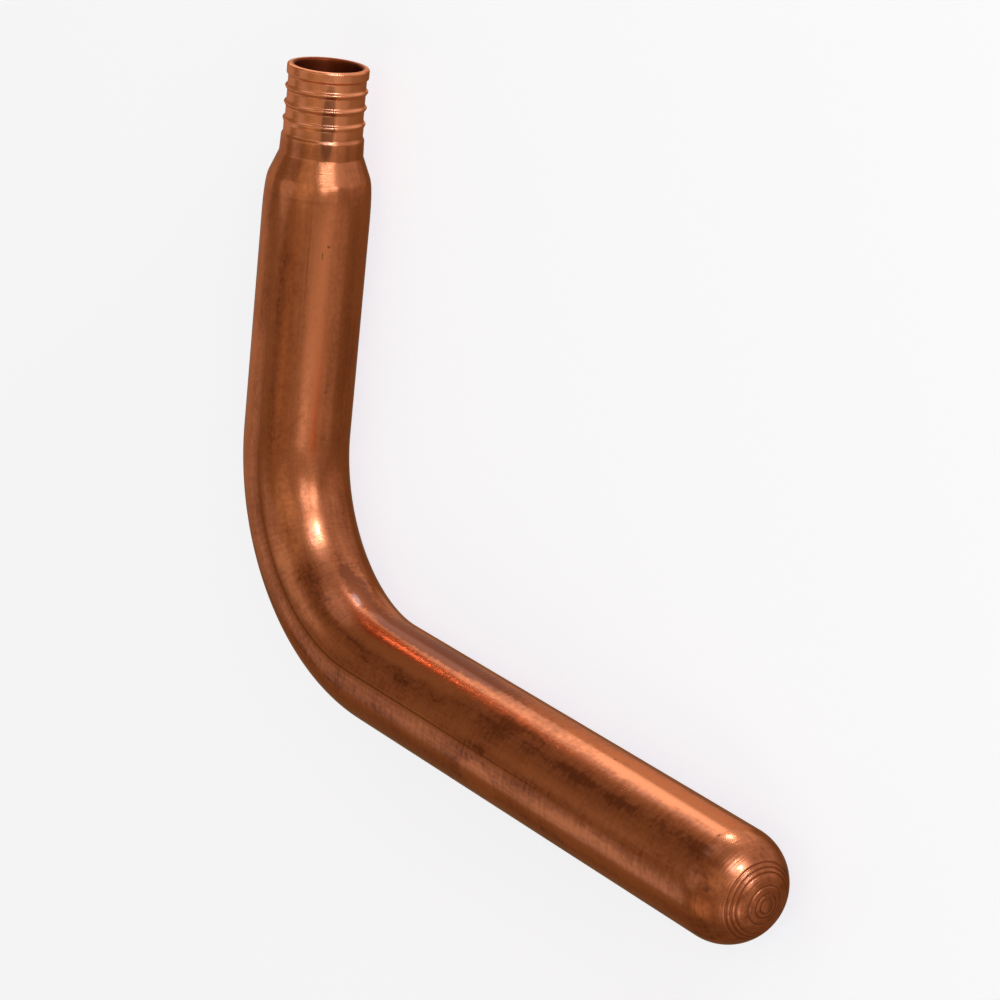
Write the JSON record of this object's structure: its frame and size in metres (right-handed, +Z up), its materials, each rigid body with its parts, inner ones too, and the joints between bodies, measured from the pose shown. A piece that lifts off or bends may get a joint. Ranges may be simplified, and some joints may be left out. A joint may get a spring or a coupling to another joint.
{
  "type": "stub out elbow",
  "caption": "Copper stub out elbow for water tube: a ribbed push-on barb, a straight riser, a smooth right-angle bend and a long stub with a spun closed tip.",
  "frame": {"origin": "middle of the barb's mouth, on the riser's axis; the elbow lies on its side and its lowest line is 7.94 mm below", "axes": "+Y out of the barb's mouth along the riser, +X out of the closed tip along the stub, +Z up, square to both legs"},
  "size_m": [0.1214, 0.0916, 0.0158],
  "materials": {
    "copper": "drawn copper, satin, a little tarnished"
  },
  "bodies": {
    "root": {"stub_out_elbow": "copper"}
  },
  "joints": []
}
